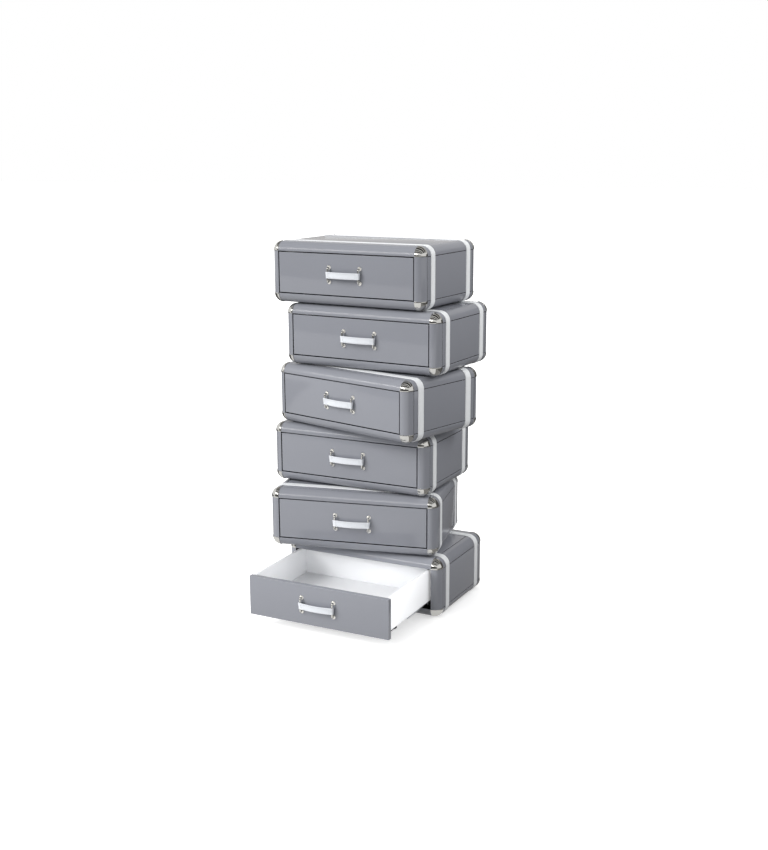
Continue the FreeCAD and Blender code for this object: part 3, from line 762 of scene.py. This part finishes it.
class CHEST_OT_straps(bpy.types.Operator):
    """Make the two leather straps round each case"""

    bl_idname = "chest.straps"
    bl_label = "Straps"

    def execute(self, context):
        return case_pieces(
            context.scene, "strap_pair", self.pair,
            ["white_coated_cowhide"], "white_leather", "case_{}_straps",
        )

    def section(self, bm, size):
        """The strap's outline across: flat below, eased edges and two pressed lines above."""
        low = -size.strap_fit
        high = low - size.strap_thickness
        half = size.strap_width / 2
        ease = size.strap_thickness / 2
        crease = half - size.strap_crease
        dip = size.crease_depth
        return outline(
            bm,
            (0, -half, low),
            [
                ((0, half, low),),
                ((0, half, high + ease),),
                ((0, half - ease, high + ease), -RIGHT, QUARTER, EASE_STEPS),
                ((0, crease + dip, high),),
                ((0, crease, high + dip),),
                ((0, crease - dip, high),),
                ((0, dip - crease, high),),
                ((0, -crease, high + dip),),
                ((0, -crease - dip, high),),
                ((0, ease - half, high),),
                ((0, ease - half, high + ease), -RIGHT, QUARTER, EASE_STEPS),
            ],
        )

    def strap(self, size):
        """One strap: its outline carried round the case, from the middle of the underside."""
        bm = bmesh.new()
        x, _, low, high = core(size)
        sweep = Sweep(bm, self.section(bm, size))
        sweep.run(RIGHT * x).bend((x, 0, low), -BACK, QUARTER)
        sweep.run(UP * (high - low)).bend((x, 0, high), -BACK, QUARTER)
        sweep.run(RIGHT * -2 * x).bend((-x, 0, high), -BACK, QUARTER)
        sweep.run(UP * (low - high)).bend((-x, 0, low), -BACK, QUARTER)
        sweep.run(RIGHT * x)
        tidy(bm)
        worn_layer(bm)
        wear(bm, [face for face in bm.faces if abs(face.normal.y) > EDGEWISE])
        return bm

    def pair(self, scene):
        """Front and rear straps in place."""
        size = scene.chest_case
        y = size.depth / 2 - size.strap_setback - size.strap_width / 2
        return joined([moved(self.strap(size), (0, out * y, 0)) for out in (-1, 1)])


# The drawer

def side_x(case, drawer):
    """How far the outside of a drawer's side stands from the middle."""
    return core(case)[0] - drawer.gap - drawer.side_inset


def box_ends(case, drawer):
    """Where a drawer's sides start behind its front, and where they end."""
    return drawer.front - case.depth / 2, case.depth / 2 - case.board - drawer.back_clearance


class CHEST_OT_drawer_fronts(bpy.types.Operator):
    """Make the drawer fronts"""

    bl_idname = "chest.drawer_fronts"
    bl_label = "Drawer Fronts"

    def execute(self, context):
        return drawer_pieces(
            context.scene, ("panel", self.panel, ["grey_sprayed_lacquer"], "grey_lacquer", "front")
        )

    def panel(self, scene):
        """A board with its outer edges eased."""
        case, size = scene.chest_case, scene.chest_drawer
        x, _, low, high = core(case)
        x, low, high = x - size.gap, low + size.gap, high - size.gap
        y = -case.depth / 2
        bm = slab((-x, y, low), (x, y + size.front, high))
        eased(bm, facing_edges(bm, -BACK), size.easing)
        return bm


class CHEST_OT_drawer_boxes(bpy.types.Operator):
    """Make the drawer boxes"""

    bl_idname = "chest.drawer_boxes"
    bl_label = "Drawer Boxes"

    def execute(self, context):
        return drawer_pieces(
            context.scene, ("tray", self.tray, ["white_satin_lacquer"], "white_lacquer", "box")
        )

    def tray(self, scene):
        """Two sides, a floor and a back that stands on it."""
        case, size = scene.chest_case, scene.chest_drawer
        outer = side_x(case, size)
        inner = outer - size.board
        top = core(case)[3] - size.gap
        front, rear = box_ends(case, size)
        back = rear - size.back_inset
        floor_top = size.floor_base + size.floor
        plans = [
            ((-outer, front, size.side_base), (-inner, rear, top)),
            ((inner, front, size.side_base), (outer, rear, top)),
            ((-inner, back - size.board, floor_top), (inner, back, top - size.back_inset)),
            ((-inner, front, size.floor_base), (inner, back - size.back_inset, floor_top)),
        ]
        parts = []
        for start, end in plans:
            board = slab(start, end)
            eased(board, board.edges[:], size.board_easing)
            parts.append(board)
        return joined(parts)


class CHEST_OT_drawer_rails(bpy.types.Operator):
    """Make the drawers' rails and front clips"""

    bl_idname = "chest.drawer_rails"
    bl_label = "Drawer Rails"

    def execute(self, context):
        return drawer_pieces(
            context.scene,
            ("upper_rails", self.rails, ["zinc_plated_steel"], "zinc_steel", "rails"),
            ("front_clips", self.clips, ["moulded_black_nylon"], "zinc_steel", "rails"),
        )

    def rails(self, scene):
        """Two lipped channels, open downwards, under the drawer's floor."""
        case, size = scene.chest_case, scene.chest_drawer
        half = size.rail_width / 2
        x = side_x(case, size) - size.board - size.rail_side_gap - half
        front, rear = box_ends(case, size)
        front, rear = front + size.rail_setback, rear - size.rail_rear_gap
        wall = half - size.rail_sheet
        lip = wall - size.rail_lip
        top = size.floor_base
        low = top - size.rail_height
        right = [
            (half, top), (half, low), (lip, low), (lip, low + size.rail_sheet),
            (wall, low + size.rail_sheet), (wall, top - size.rail_sheet),
        ]
        around = right + [(-a, b) for a, b in reversed(right)]
        points = [(a, front, b) for a, b in around]
        reach = BACK * (rear - front)
        return joined([moved(bar_of(points, reach), (out * x, 0, 0)) for out in (-1, 1)])

    def clips(self, scene):
        """Two catches under the drawer's sides: a thin arm that ends in a deeper head."""
        case, size = scene.chest_case, scene.chest_drawer
        outer = side_x(case, size)
        front, _ = box_ends(case, size)
        rear = front + size.clip_length
        neck = rear - size.clip_head
        top = size.side_base
        arm = top - size.clip_arm
        low = top - size.clip_depth
        around = [
            (front, top), (front, arm), (neck, arm),
            (neck + arm - low, low), (rear, low), (rear, top),
        ]
        parts = []
        for x in (size.clip_inset - outer, outer - size.clip_inset - size.clip_width):
            clip = bar_of([(x, a, b) for a, b in around], RIGHT * size.clip_width)
            eased(clip, clip.edges[:], size.board_easing, FINE_STEPS)
            parts.append(clip)
        return joined(parts)


# The handle

# A stitch's sides and rings: few, because there are hundreds
STITCH_SIDES = 6
STITCH_RINGS = 5
ROD_SIDES = 20
NUT_SIDES = 6
# A nut's easing against its height, and a rose's hole against the rod, so that no gap shows
NUT_EASING = 1 / 8
ROSE_GRIP = 0.98
FITTING_FINISHES = ["polished_chrome_plate", "satin_nickel_plate"]
NICKELLED = 1


def bar_y(case, handle):
    """Where the staples' bars stand in front of the case."""
    return -case.depth / 2 - handle.standoff


class CHEST_OT_handle_bands(bpy.types.Operator):
    """Make the leather handle bands and their stitching"""

    bl_idname = "chest.handle_bands"
    bl_label = "Handle Bands"

    def execute(self, context):
        return drawer_pieces(
            context.scene,
            ("grip", self.band, ["white_bridle_leather"], "white_leather", "handle_band"),
            ("grip_stitching", self.stitching, ["waxed_linen_thread"], "white_leather"),
        )

    def bow(self, case, size):
        """The bow's radius, half angle and centre, along the middle of the band's thickness."""
        loop = size.rod + size.band_fit + size.band_thickness / 2
        half = size.pitch / 2
        radius = (half ** 2 + size.band_bow ** 2 - loop ** 2) / (2 * (size.band_bow - loop))
        angle = math.asin(half / (radius - loop))
        centre = Vector((0, bar_y(case, size) - size.band_bow + radius, case.height / 2))
        return radius, angle, centre

    def band(self, scene):
        """One strip that wraps each bar and bows out between them, its two tails behind."""
        case, size = scene.chest_case, scene.chest_handle
        radius, angle, centre = self.bow(case, size)
        bm = bmesh.new()
        left, right = (
            Vector((side * size.pitch / 2, bar_y(case, size), case.height / 2)) for side in (-1, 1)
        )
        wrap = math.pi - angle / 2
        half = size.band_height / 2
        thin = size.band_thickness / 2
        ease = size.band_easing
        # The outline is drawn where the bow leaves the left-hand loop, and carried both ways.
        start = centre + Vector((-math.sin(angle), -math.cos(angle), 0)) * radius
        outward = (start - centre).normalized()

        def spot(out, up):
            return start + outward * out + UP * up

        rounding = (UP.cross(outward), QUARTER, EASE_STEPS)
        section = outline(
            bm,
            spot(-thin, ease - half),
            [
                (spot(ease - thin, ease - half), *rounding),
                (spot(thin - ease, -half),),
                (spot(thin - ease, ease - half), *rounding),
                (spot(thin, half - ease),),
                (spot(thin - ease, half - ease), *rounding),
                (spot(ease - thin, half),),
                (spot(ease - thin, half - ease), *rounding),
            ],
        )
        Sweep(bm, section).bend(left, -UP, wrap).cap()
        onward = Sweep(bm, section).bend(centre, UP, 2 * angle, 2 * ARC_STEPS)
        onward.bend(right, UP, wrap).cap()
        tidy(bm)
        worn_layer(bm)
        wear(bm, [face for face in bm.faces if abs(face.normal.z) > EDGEWISE])
        return bm

    def stitching(self, scene):
        """Two rows of stitches along the band's face, and one across it near each bar."""
        size = scene.chest_handle
        radius, angle, centre = self.bow(scene.chest_case, size)
        face = radius + size.band_thickness / 2
        pitch = size.stitch + size.stitch_gap
        row = size.band_height / 2 - size.stitch_inset
        across = angle - size.stitch_end / face
        count = int(2 * across * face / pitch)
        places = [
            ((index - (count - 1) / 2) * pitch / face, up * row, 0)
            for up in (-1, 1)
            for index in range(count)
        ]
        rungs = int(2 * row / pitch)
        places += [
            (side * across, (index - (rungs - 1) / 2) * pitch, QUARTER)
            for side in (-1, 1)
            for index in range(rungs)
        ]
        parts = []
        for turn, up, tilt in places:
            bm = bmesh.new()
            bmesh.ops.create_uvsphere(
                bm, u_segments=STITCH_SIDES, v_segments=STITCH_RINGS, radius=1
            )
            bmesh.ops.scale(bm, vec=(size.stitch / 2, size.thread, size.thread), verts=bm.verts)
            lay = (
                Matrix.Rotation(turn, 4, "Z")
                @ Matrix.Translation((0, -face, 0))
                @ Matrix.Rotation(tilt, 4, "Y")
            )
            parts.append(moved(bm, centre + UP * up, lay))
        return joined(parts)


class CHEST_OT_handle_fittings(bpy.types.Operator):
    """Make the staples, roses and nuts of the handles"""

    bl_idname = "chest.handle_fittings"
    bl_label = "Handle Fittings"

    def execute(self, context):
        return drawer_pieces(
            context.scene,
            ("staples", self.fittings, FITTING_FINISHES, "chrome_plate", "handle_fittings"),
        )

    def staple(self, case, drawer, size):
        """A bent rod at x = 0: two legs through the drawer front and a bar between them."""
        bm = bmesh.new()
        leg_end = drawer.front - case.depth / 2 + size.nut_height
        turn_y = bar_y(case, size) + size.bend
        low = case.height / 2 - size.stud_pitch / 2
        high = case.height / 2 + size.stud_pitch / 2
        bmesh.ops.create_circle(bm, segments=ROD_SIDES, radius=size.rod)
        moved(bm, (0, leg_end, low), Matrix.Rotation(QUARTER, 4, "X"))
        sweep = Sweep(bm, bm.edges[:]).cap()
        sweep.run(BACK * (turn_y - leg_end))
        sweep.bend((0, turn_y, low + size.bend), -RIGHT, QUARTER, BEND_STEPS)
        sweep.run(UP * (high - low - 2 * size.bend))
        sweep.bend((0, turn_y, high - size.bend), -RIGHT, QUARTER, BEND_STEPS)
        sweep.run(BACK * (leg_end - turn_y)).cap()
        tidy(bm)
        return bm

    def rose(self, size):
        """A domed rose on Z = 0 with a hole for the rod and a thin foot."""
        bm = bmesh.new()
        hole = size.rod * ROSE_GRIP
        dome = (size.rose ** 2 + size.rose_height ** 2) / (2 * size.rose_height)
        reach = math.asin(size.rose / dome) - math.asin(hole / dome)
        profile = outline(
            bm,
            (hole, 0, 0),
            [
                ((size.rose, 0, 0),),
                ((0, 0, size.rose_height - dome), -BACK, reach, ARC_STEPS),
            ],
        )
        bmesh.ops.spin(
            bm, geom=[*bm.verts, *profile], cent=(0, 0, 0), axis=UP,
            angle=2 * math.pi, steps=2 * ARC_STEPS, use_merge=True,
        )
        tidy(bm)
        for face in bm.faces:
            face.material_index = NICKELLED
        return bm

    def nut(self, size):
        """A six-sided nut on Z = 0 with eased corners."""
        bm = bmesh.new()
        bmesh.ops.create_cone(
            bm, cap_ends=True, segments=NUT_SIDES,
            radius1=size.nut, radius2=size.nut, depth=size.nut_height,
        )
        bmesh.ops.translate(bm, vec=UP * size.nut_height / 2, verts=bm.verts)
        eased(bm, facing_edges(bm, UP), size.nut_height * NUT_EASING, FINE_STEPS)
        return bm

    def fittings(self, scene):
        """Two staples, four roses and four nuts in place."""
        case, drawer, size = scene.chest_case, scene.chest_drawer, scene.chest_handle
        outside = -case.depth / 2
        inside = outside + drawer.front
        outwards, inwards = (Matrix.Rotation(angle, 4, "X") for angle in (QUARTER, -QUARTER))
        parts = []
        for side in (-1, 1):
            x = side * size.pitch / 2
            parts.append(moved(self.staple(case, drawer, size), (x, 0, 0)))
            for up in (-1, 1):
                z = case.height / 2 + up * size.stud_pitch / 2
                parts.append(moved(self.rose(size), (x, outside, z), outwards))
                parts.append(moved(self.nut(size), (x, inside, z), inwards))
        return joined(parts)


class CHEST_OT_hidden_parts(bpy.types.Operator):
    """Give the rails, bearers, bolts, spacers and glides their finishes"""

    bl_idname = "chest.hidden_parts"
    bl_label = "Hidden Parts"

    def execute(self, context):
        finishes = {
            "case_rails": "zinc_plated_steel",
            "stack_bolts": "zinc_plated_steel",
            # The bearers get near black beech as painted shade
            "rail_bearers": "shade_black_beech",
            "stack_spacers": "cut_black_rubber",
            "floor_glides": "moulded_black_nylon",
        }
        finishes.update({f"middle_rails_{number}": "zinc_plated_steel" for number in CASES})
        for node, finish in finishes.items():
            for slot in frame["nodes"][node].material_slots:
                slot.material = bpy.data.materials[finish]
        return {"FINISHED"}


# The studio

FLOOR = "studio_floor"
FLOOR_WIDTH = 80
# How brightly the floor glows, to the eye and in reflections, and the fill from all round
FLOOR_SEEN = 0.50
FLOOR_MIRRORED = 0.66
FILL = 0.72
# The two lamps that light some things and not others
SIDE_FILL = "side_fill"
TRAY_FILL = "tray_fill"
# Kind, power, size (an angle for the sun) and place of each lamp, and what they all aim at
LAMPS = {
    "key_light": ("SUN", 2.48, math.radians(30), (-2.45, -2.45, 2.6)),
    SIDE_FILL: ("AREA", 22, 1.2, (2.05, 0.4, 2.4)),
    "low_fill": ("AREA", 7, 0.8, (-0.2, -2.1, 0.5)),
    TRAY_FILL: ("AREA", 5.6, 0.4, (0.95, -0.75, 0.36)),
}
AIM = Vector((0, 0, 0.6))
# How brightly each cloth shows in a reflection, and the tint of them all
CLOTHS = {
    "black_cloth": 0.02,
    "dark_cloth": 0.10,
    "grey_floor_cloth": 0.14,
    "pale_floor_cloth": 0.30,
    "pale_ceiling_cloth": 0.55,
    "grey_wall_paper": 0.6,
    "strip_diffuser": 9.0,
}
CLOTH_TINT = (1, 0.98, 0.96, 1)
# How the cards on the floor are turned, and the way the light strips face
RIGHT_TURN, LEFT_TURN = math.radians(-44), math.radians(30)
STRIP_WAY = Vector((0.42, 0.79, -0.44))
# Cloth, middle, the way it faces, width, height and turn of each card
CARDS = {
    "front_card": ("dark_cloth", (0, -6, 1.4), -BACK, 16, 2.8, 0),
    "ceiling_card_front": ("dark_cloth", (0, -4.6, 6), UP, 16, 2.4, 0),
    "ceiling_card_middle": ("black_cloth", (0, -2.2, 6), UP, 16, 1.2, 0),
    "ceiling_card_rear": ("pale_ceiling_cloth", (0, 3.2, 6.1), UP, 16, 8.2, 0),
    "ceiling_slat_near": ("black_cloth", (0, 0, 6), UP, 16, 1.8, 0),
    "ceiling_slat_far": ("black_cloth", (0, 3.0, 6), UP, 16, 1.8, 0),
    "right_card": ("dark_cloth", (1.5, 1.5, 0.9), Vector((-0.5, -0.85, 0)), 2.6, 1.8, 0),
    # A sheet beside the stack that only reflections show: a painted shadow of the stack on the
    # floor
    "near_floor_card": ("pale_floor_cloth", (0.365, 0.376, 0.002), UP, 12, 0.748, RIGHT_TURN),
    "right_floor_card": ("grey_floor_cloth", (5.84, 1.20, 0.002), UP, 12, 8, RIGHT_TURN),
    "left_floor_card": ("grey_floor_cloth", (-5.2, 2.2, 0.003), UP, 12, 8, LEFT_TURN),
    "rear_wall": ("grey_wall_paper", (-3, 6, 2.5), -BACK, 18, 5, 0),
    "upper_strip": ("strip_diffuser", (-3.3, -6.2, 4.9), STRIP_WAY, 10, 0.35, 0),
    "lower_strip": ("strip_diffuser", (-3.3, -6.4, 4.2), STRIP_WAY, 10, 0.35, 0),
}
# The camera as fitted to the photograph: lens and film in millimetres, place in metres
LENS = 52.59
FILM_WIDTH = 36
SHIFT = (0.0199, 0.0186)
FURTHEST_SEEN = 200
CAMERA_PLACE = (2.0058, -3.9958, 1.6578)
YAW, PITCH, ROLL = (math.radians(angle) for angle in (27.55, 13.5, -0.394))


class CHEST_OT_stage(bpy.types.Operator):
    """Make the floor, the lights and the camera"""

    bl_idname = "chest.stage"
    bl_label = "Stage"

    def execute(self, context):
        scene = context.scene
        scene.view_settings.view_transform = "Standard"
        self.floor(scene)
        self.world(scene)
        self.lamps(scene)
        self.cards(scene)
        self.camera(scene)
        return {"FINISHED"}

    def sheet(self, scene, name, wide, high, place, material):
        """A flat sheet that belongs to the studio."""
        bm = bmesh.new()
        bmesh.ops.create_grid(bm, x_segments=1, y_segments=1, size=0.5)
        bmesh.ops.scale(bm, vec=(wide, high, 1), verts=bm.verts)
        bm.transform(place)
        mesh = bpy.data.meshes.new(name)
        bm.to_mesh(mesh)
        bm.free()
        mesh.materials.append(material)
        made = bpy.data.objects.new(name, mesh)
        scene.collection.objects.link(made)
        return made

    def seen(self, tree):
        """One for what the eye sees, straight or in a reflection, and nought for other light."""
        path = add(tree, "LightPath")
        rays = {0: path["Is Camera Ray"], 1: path["Is Transmission Ray"]}
        straight = add(tree, "Math", rays, operation="MAXIMUM")["Value"]
        rays = {0: straight, 1: path["Is Glossy Ray"]}
        return add(tree, "Math", rays, operation="MAXIMUM")["Value"]

    def floor(self, scene):
        """A pale floor that shows white to the eye apart from the chest's shadow."""
        material, tree = new_material("matt_white_studio_floor")
        camera = add(tree, "LightPath")["Is Camera Ray"]
        tones = {"A": [*scene.chest_finish.floor, 1], "B": WHITE}
        pale = add(tree, "Mix", {"Factor": camera, **tones}, data_type="RGBA")["Result"]
        matt = add(tree, "BsdfDiffuse", {"Color": pale})["BSDF"]
        terms = {0: self.seen(tree), 1: FLOOR_MIRRORED}
        mirrored = add(tree, "Math", terms, operation="MULTIPLY")["Value"]
        terms = {0: camera, 1: FLOOR_SEEN - FLOOR_MIRRORED, 2: mirrored}
        lift = add(tree, "Math", terms, operation="MULTIPLY_ADD")["Value"]
        glow = add(tree, "Emission", {"Color": WHITE, "Strength": lift})["Emission"]
        both = add(tree, "AddShader", {0: matt, 1: glow})["Shader"]
        add(tree, "OutputMaterial", {"Surface": both})
        self.sheet(scene, FLOOR, FLOOR_WIDTH, FLOOR_WIDTH, Matrix(), material)

    def world(self, scene):
        """White to the eye and to reflections, a dimmer fill to the rest."""
        scene.world = bpy.data.worlds.new("studio_fill")
        scene.world.use_nodes = True
        tree = scene.world.node_tree
        tree.nodes.clear()
        fill = add(tree, "Background", {"Color": WHITE, "Strength": FILL})["Background"]
        white = add(tree, "Background", {"Color": WHITE, "Strength": 1.0})["Background"]
        mix = add(tree, "MixShader", {0: self.seen(tree), 1: fill, 2: white})["Shader"]
        add(tree, "OutputWorld", {"Surface": mix})

    def lamps(self, scene):
        """A broad key from the left and smaller fills, none of which shows in a reflection."""
        for name, (kind, power, size, place) in LAMPS.items():
            data = bpy.data.lights.new(name, kind)
            data.energy = power
            setattr(data, "angle" if kind == "SUN" else "size", size)
            lamp = bpy.data.objects.new(name, data)
            scene.collection.objects.link(lamp)
            lamp.location = place
            lamp.rotation_euler = (AIM - lamp.location).to_track_quat("-Z", "Y").to_euler()
            lamp.visible_camera = False
            lamp.visible_glossy = False
        # The tray fill lights the drawer boxes alone, and only they shade one another from it.
        trays = self.group("trays", [f"drawer_{number}_tray" for number in CASES], "INCLUDE")
        linking = bpy.data.objects[TRAY_FILL].light_linking
        linking.receiver_collection = linking.blocker_collection = trays
        # The side fill leaves the floor out, so that the shadow at the chest's foot stays.
        linking = bpy.data.objects[SIDE_FILL].light_linking
        linking.receiver_collection = self.group("all_but_floor", [FLOOR], "EXCLUDE")

    def group(self, name, members, state):
        """What a lamp alone lights, or what it leaves out."""
        made = bpy.data.collections.new(name)
        for member in members:
            made.objects.link(bpy.data.objects[member])
        for member in made.collection_objects:
            member.light_linking.link_state = state
        return made

    def cards(self, scene):
        """Cards that only reflections show: dark cloths, a painted shadow of the stack on the
        floor, a slatted ceiling and two light strips.
        """
        for name, strength in CLOTHS.items():
            _, tree = new_material(name)
            glow = add(tree, "Emission", {"Color": CLOTH_TINT, "Strength": strength})["Emission"]
            add(tree, "OutputMaterial", {"Surface": glow})
        for name, (cloth, middle, way, wide, high, turn) in CARDS.items():
            facing = way.to_track_quat("Z", "Y").to_matrix().to_4x4()
            place = Matrix.Translation(middle) @ facing @ Matrix.Rotation(turn, 4, "Z")
            card = self.sheet(scene, name, wide, high, place, bpy.data.materials[cloth])
            card.visible_camera = False
            card.visible_diffuse = False
            card.visible_shadow = False
            card.visible_transmission = False

    def camera(self, scene):
        """The camera at the photograph's angle."""
        data = bpy.data.cameras.new("camera")
        data.lens = LENS
        data.sensor_width = FILM_WIDTH
        data.shift_x, data.shift_y = SHIFT
        data.clip_end = FURTHEST_SEEN
        made = bpy.data.objects.new("camera", data)
        scene.collection.objects.link(made)
        made.location = CAMERA_PLACE
        made.rotation_euler = (
            Matrix.Rotation(YAW, 3, "Z")
            @ Matrix.Rotation(QUARTER - PITCH, 3, "X")
            @ Matrix.Rotation(ROLL, 3, "Z")
        ).to_euler()
        scene.camera = made


OPERATORS = (
    CHEST_OT_finishes,
    CHEST_OT_boards,
    CHEST_OT_mouldings,
    CHEST_OT_corner_caps,
    CHEST_OT_straps,
    CHEST_OT_drawer_fronts,
    CHEST_OT_drawer_boxes,
    CHEST_OT_drawer_rails,
    CHEST_OT_handle_bands,
    CHEST_OT_handle_fittings,
    CHEST_OT_hidden_parts,
    CHEST_OT_stage,
)


class CHEST_PT_panel(bpy.types.Panel):
    """Lists the chest's sizes, colours and operators"""

    bl_idname = "CHEST_PT_panel"
    bl_label = "Suitcase Chest"
    bl_space_type = "VIEW_3D"
    bl_region_type = "UI"
    bl_category = "Chest"

    def draw(self, context):
        for group in GROUPS:
            box = self.layout.box()
            settings = getattr(context.scene, group)
            for name in settings.__annotations__:
                box.prop(settings, name)
        for operator in OPERATORS:
            self.layout.operator(operator.bl_idname)


def register():
    """Register the classes and hang the properties on the scene."""
    for cls in (*GROUPS.values(), *OPERATORS, CHEST_PT_panel):
        bpy.utils.register_class(cls)
    for name, group in GROUPS.items():
        setattr(bpy.types.Scene, name, bpy.props.PointerProperty(type=group))


def unregister():
    """Take the properties off the scene and unregister the classes."""
    for name in GROUPS:
        delattr(bpy.types.Scene, name)
    for cls in reversed((*GROUPS.values(), *OPERATORS, CHEST_PT_panel)):
        bpy.utils.unregister_class(cls)


def main():
    """Build the chest and its stage."""
    register()
    bpy.ops.chest.finishes()
    bpy.ops.chest.boards()
    bpy.ops.chest.mouldings()
    bpy.ops.chest.corner_caps()
    bpy.ops.chest.straps()
    bpy.ops.chest.drawer_fronts()
    bpy.ops.chest.drawer_boxes()
    bpy.ops.chest.drawer_rails()
    bpy.ops.chest.handle_bands()
    bpy.ops.chest.handle_fittings()
    bpy.ops.chest.hidden_parts()
    bpy.ops.chest.stage()


if __name__ == "__main__":
    main()
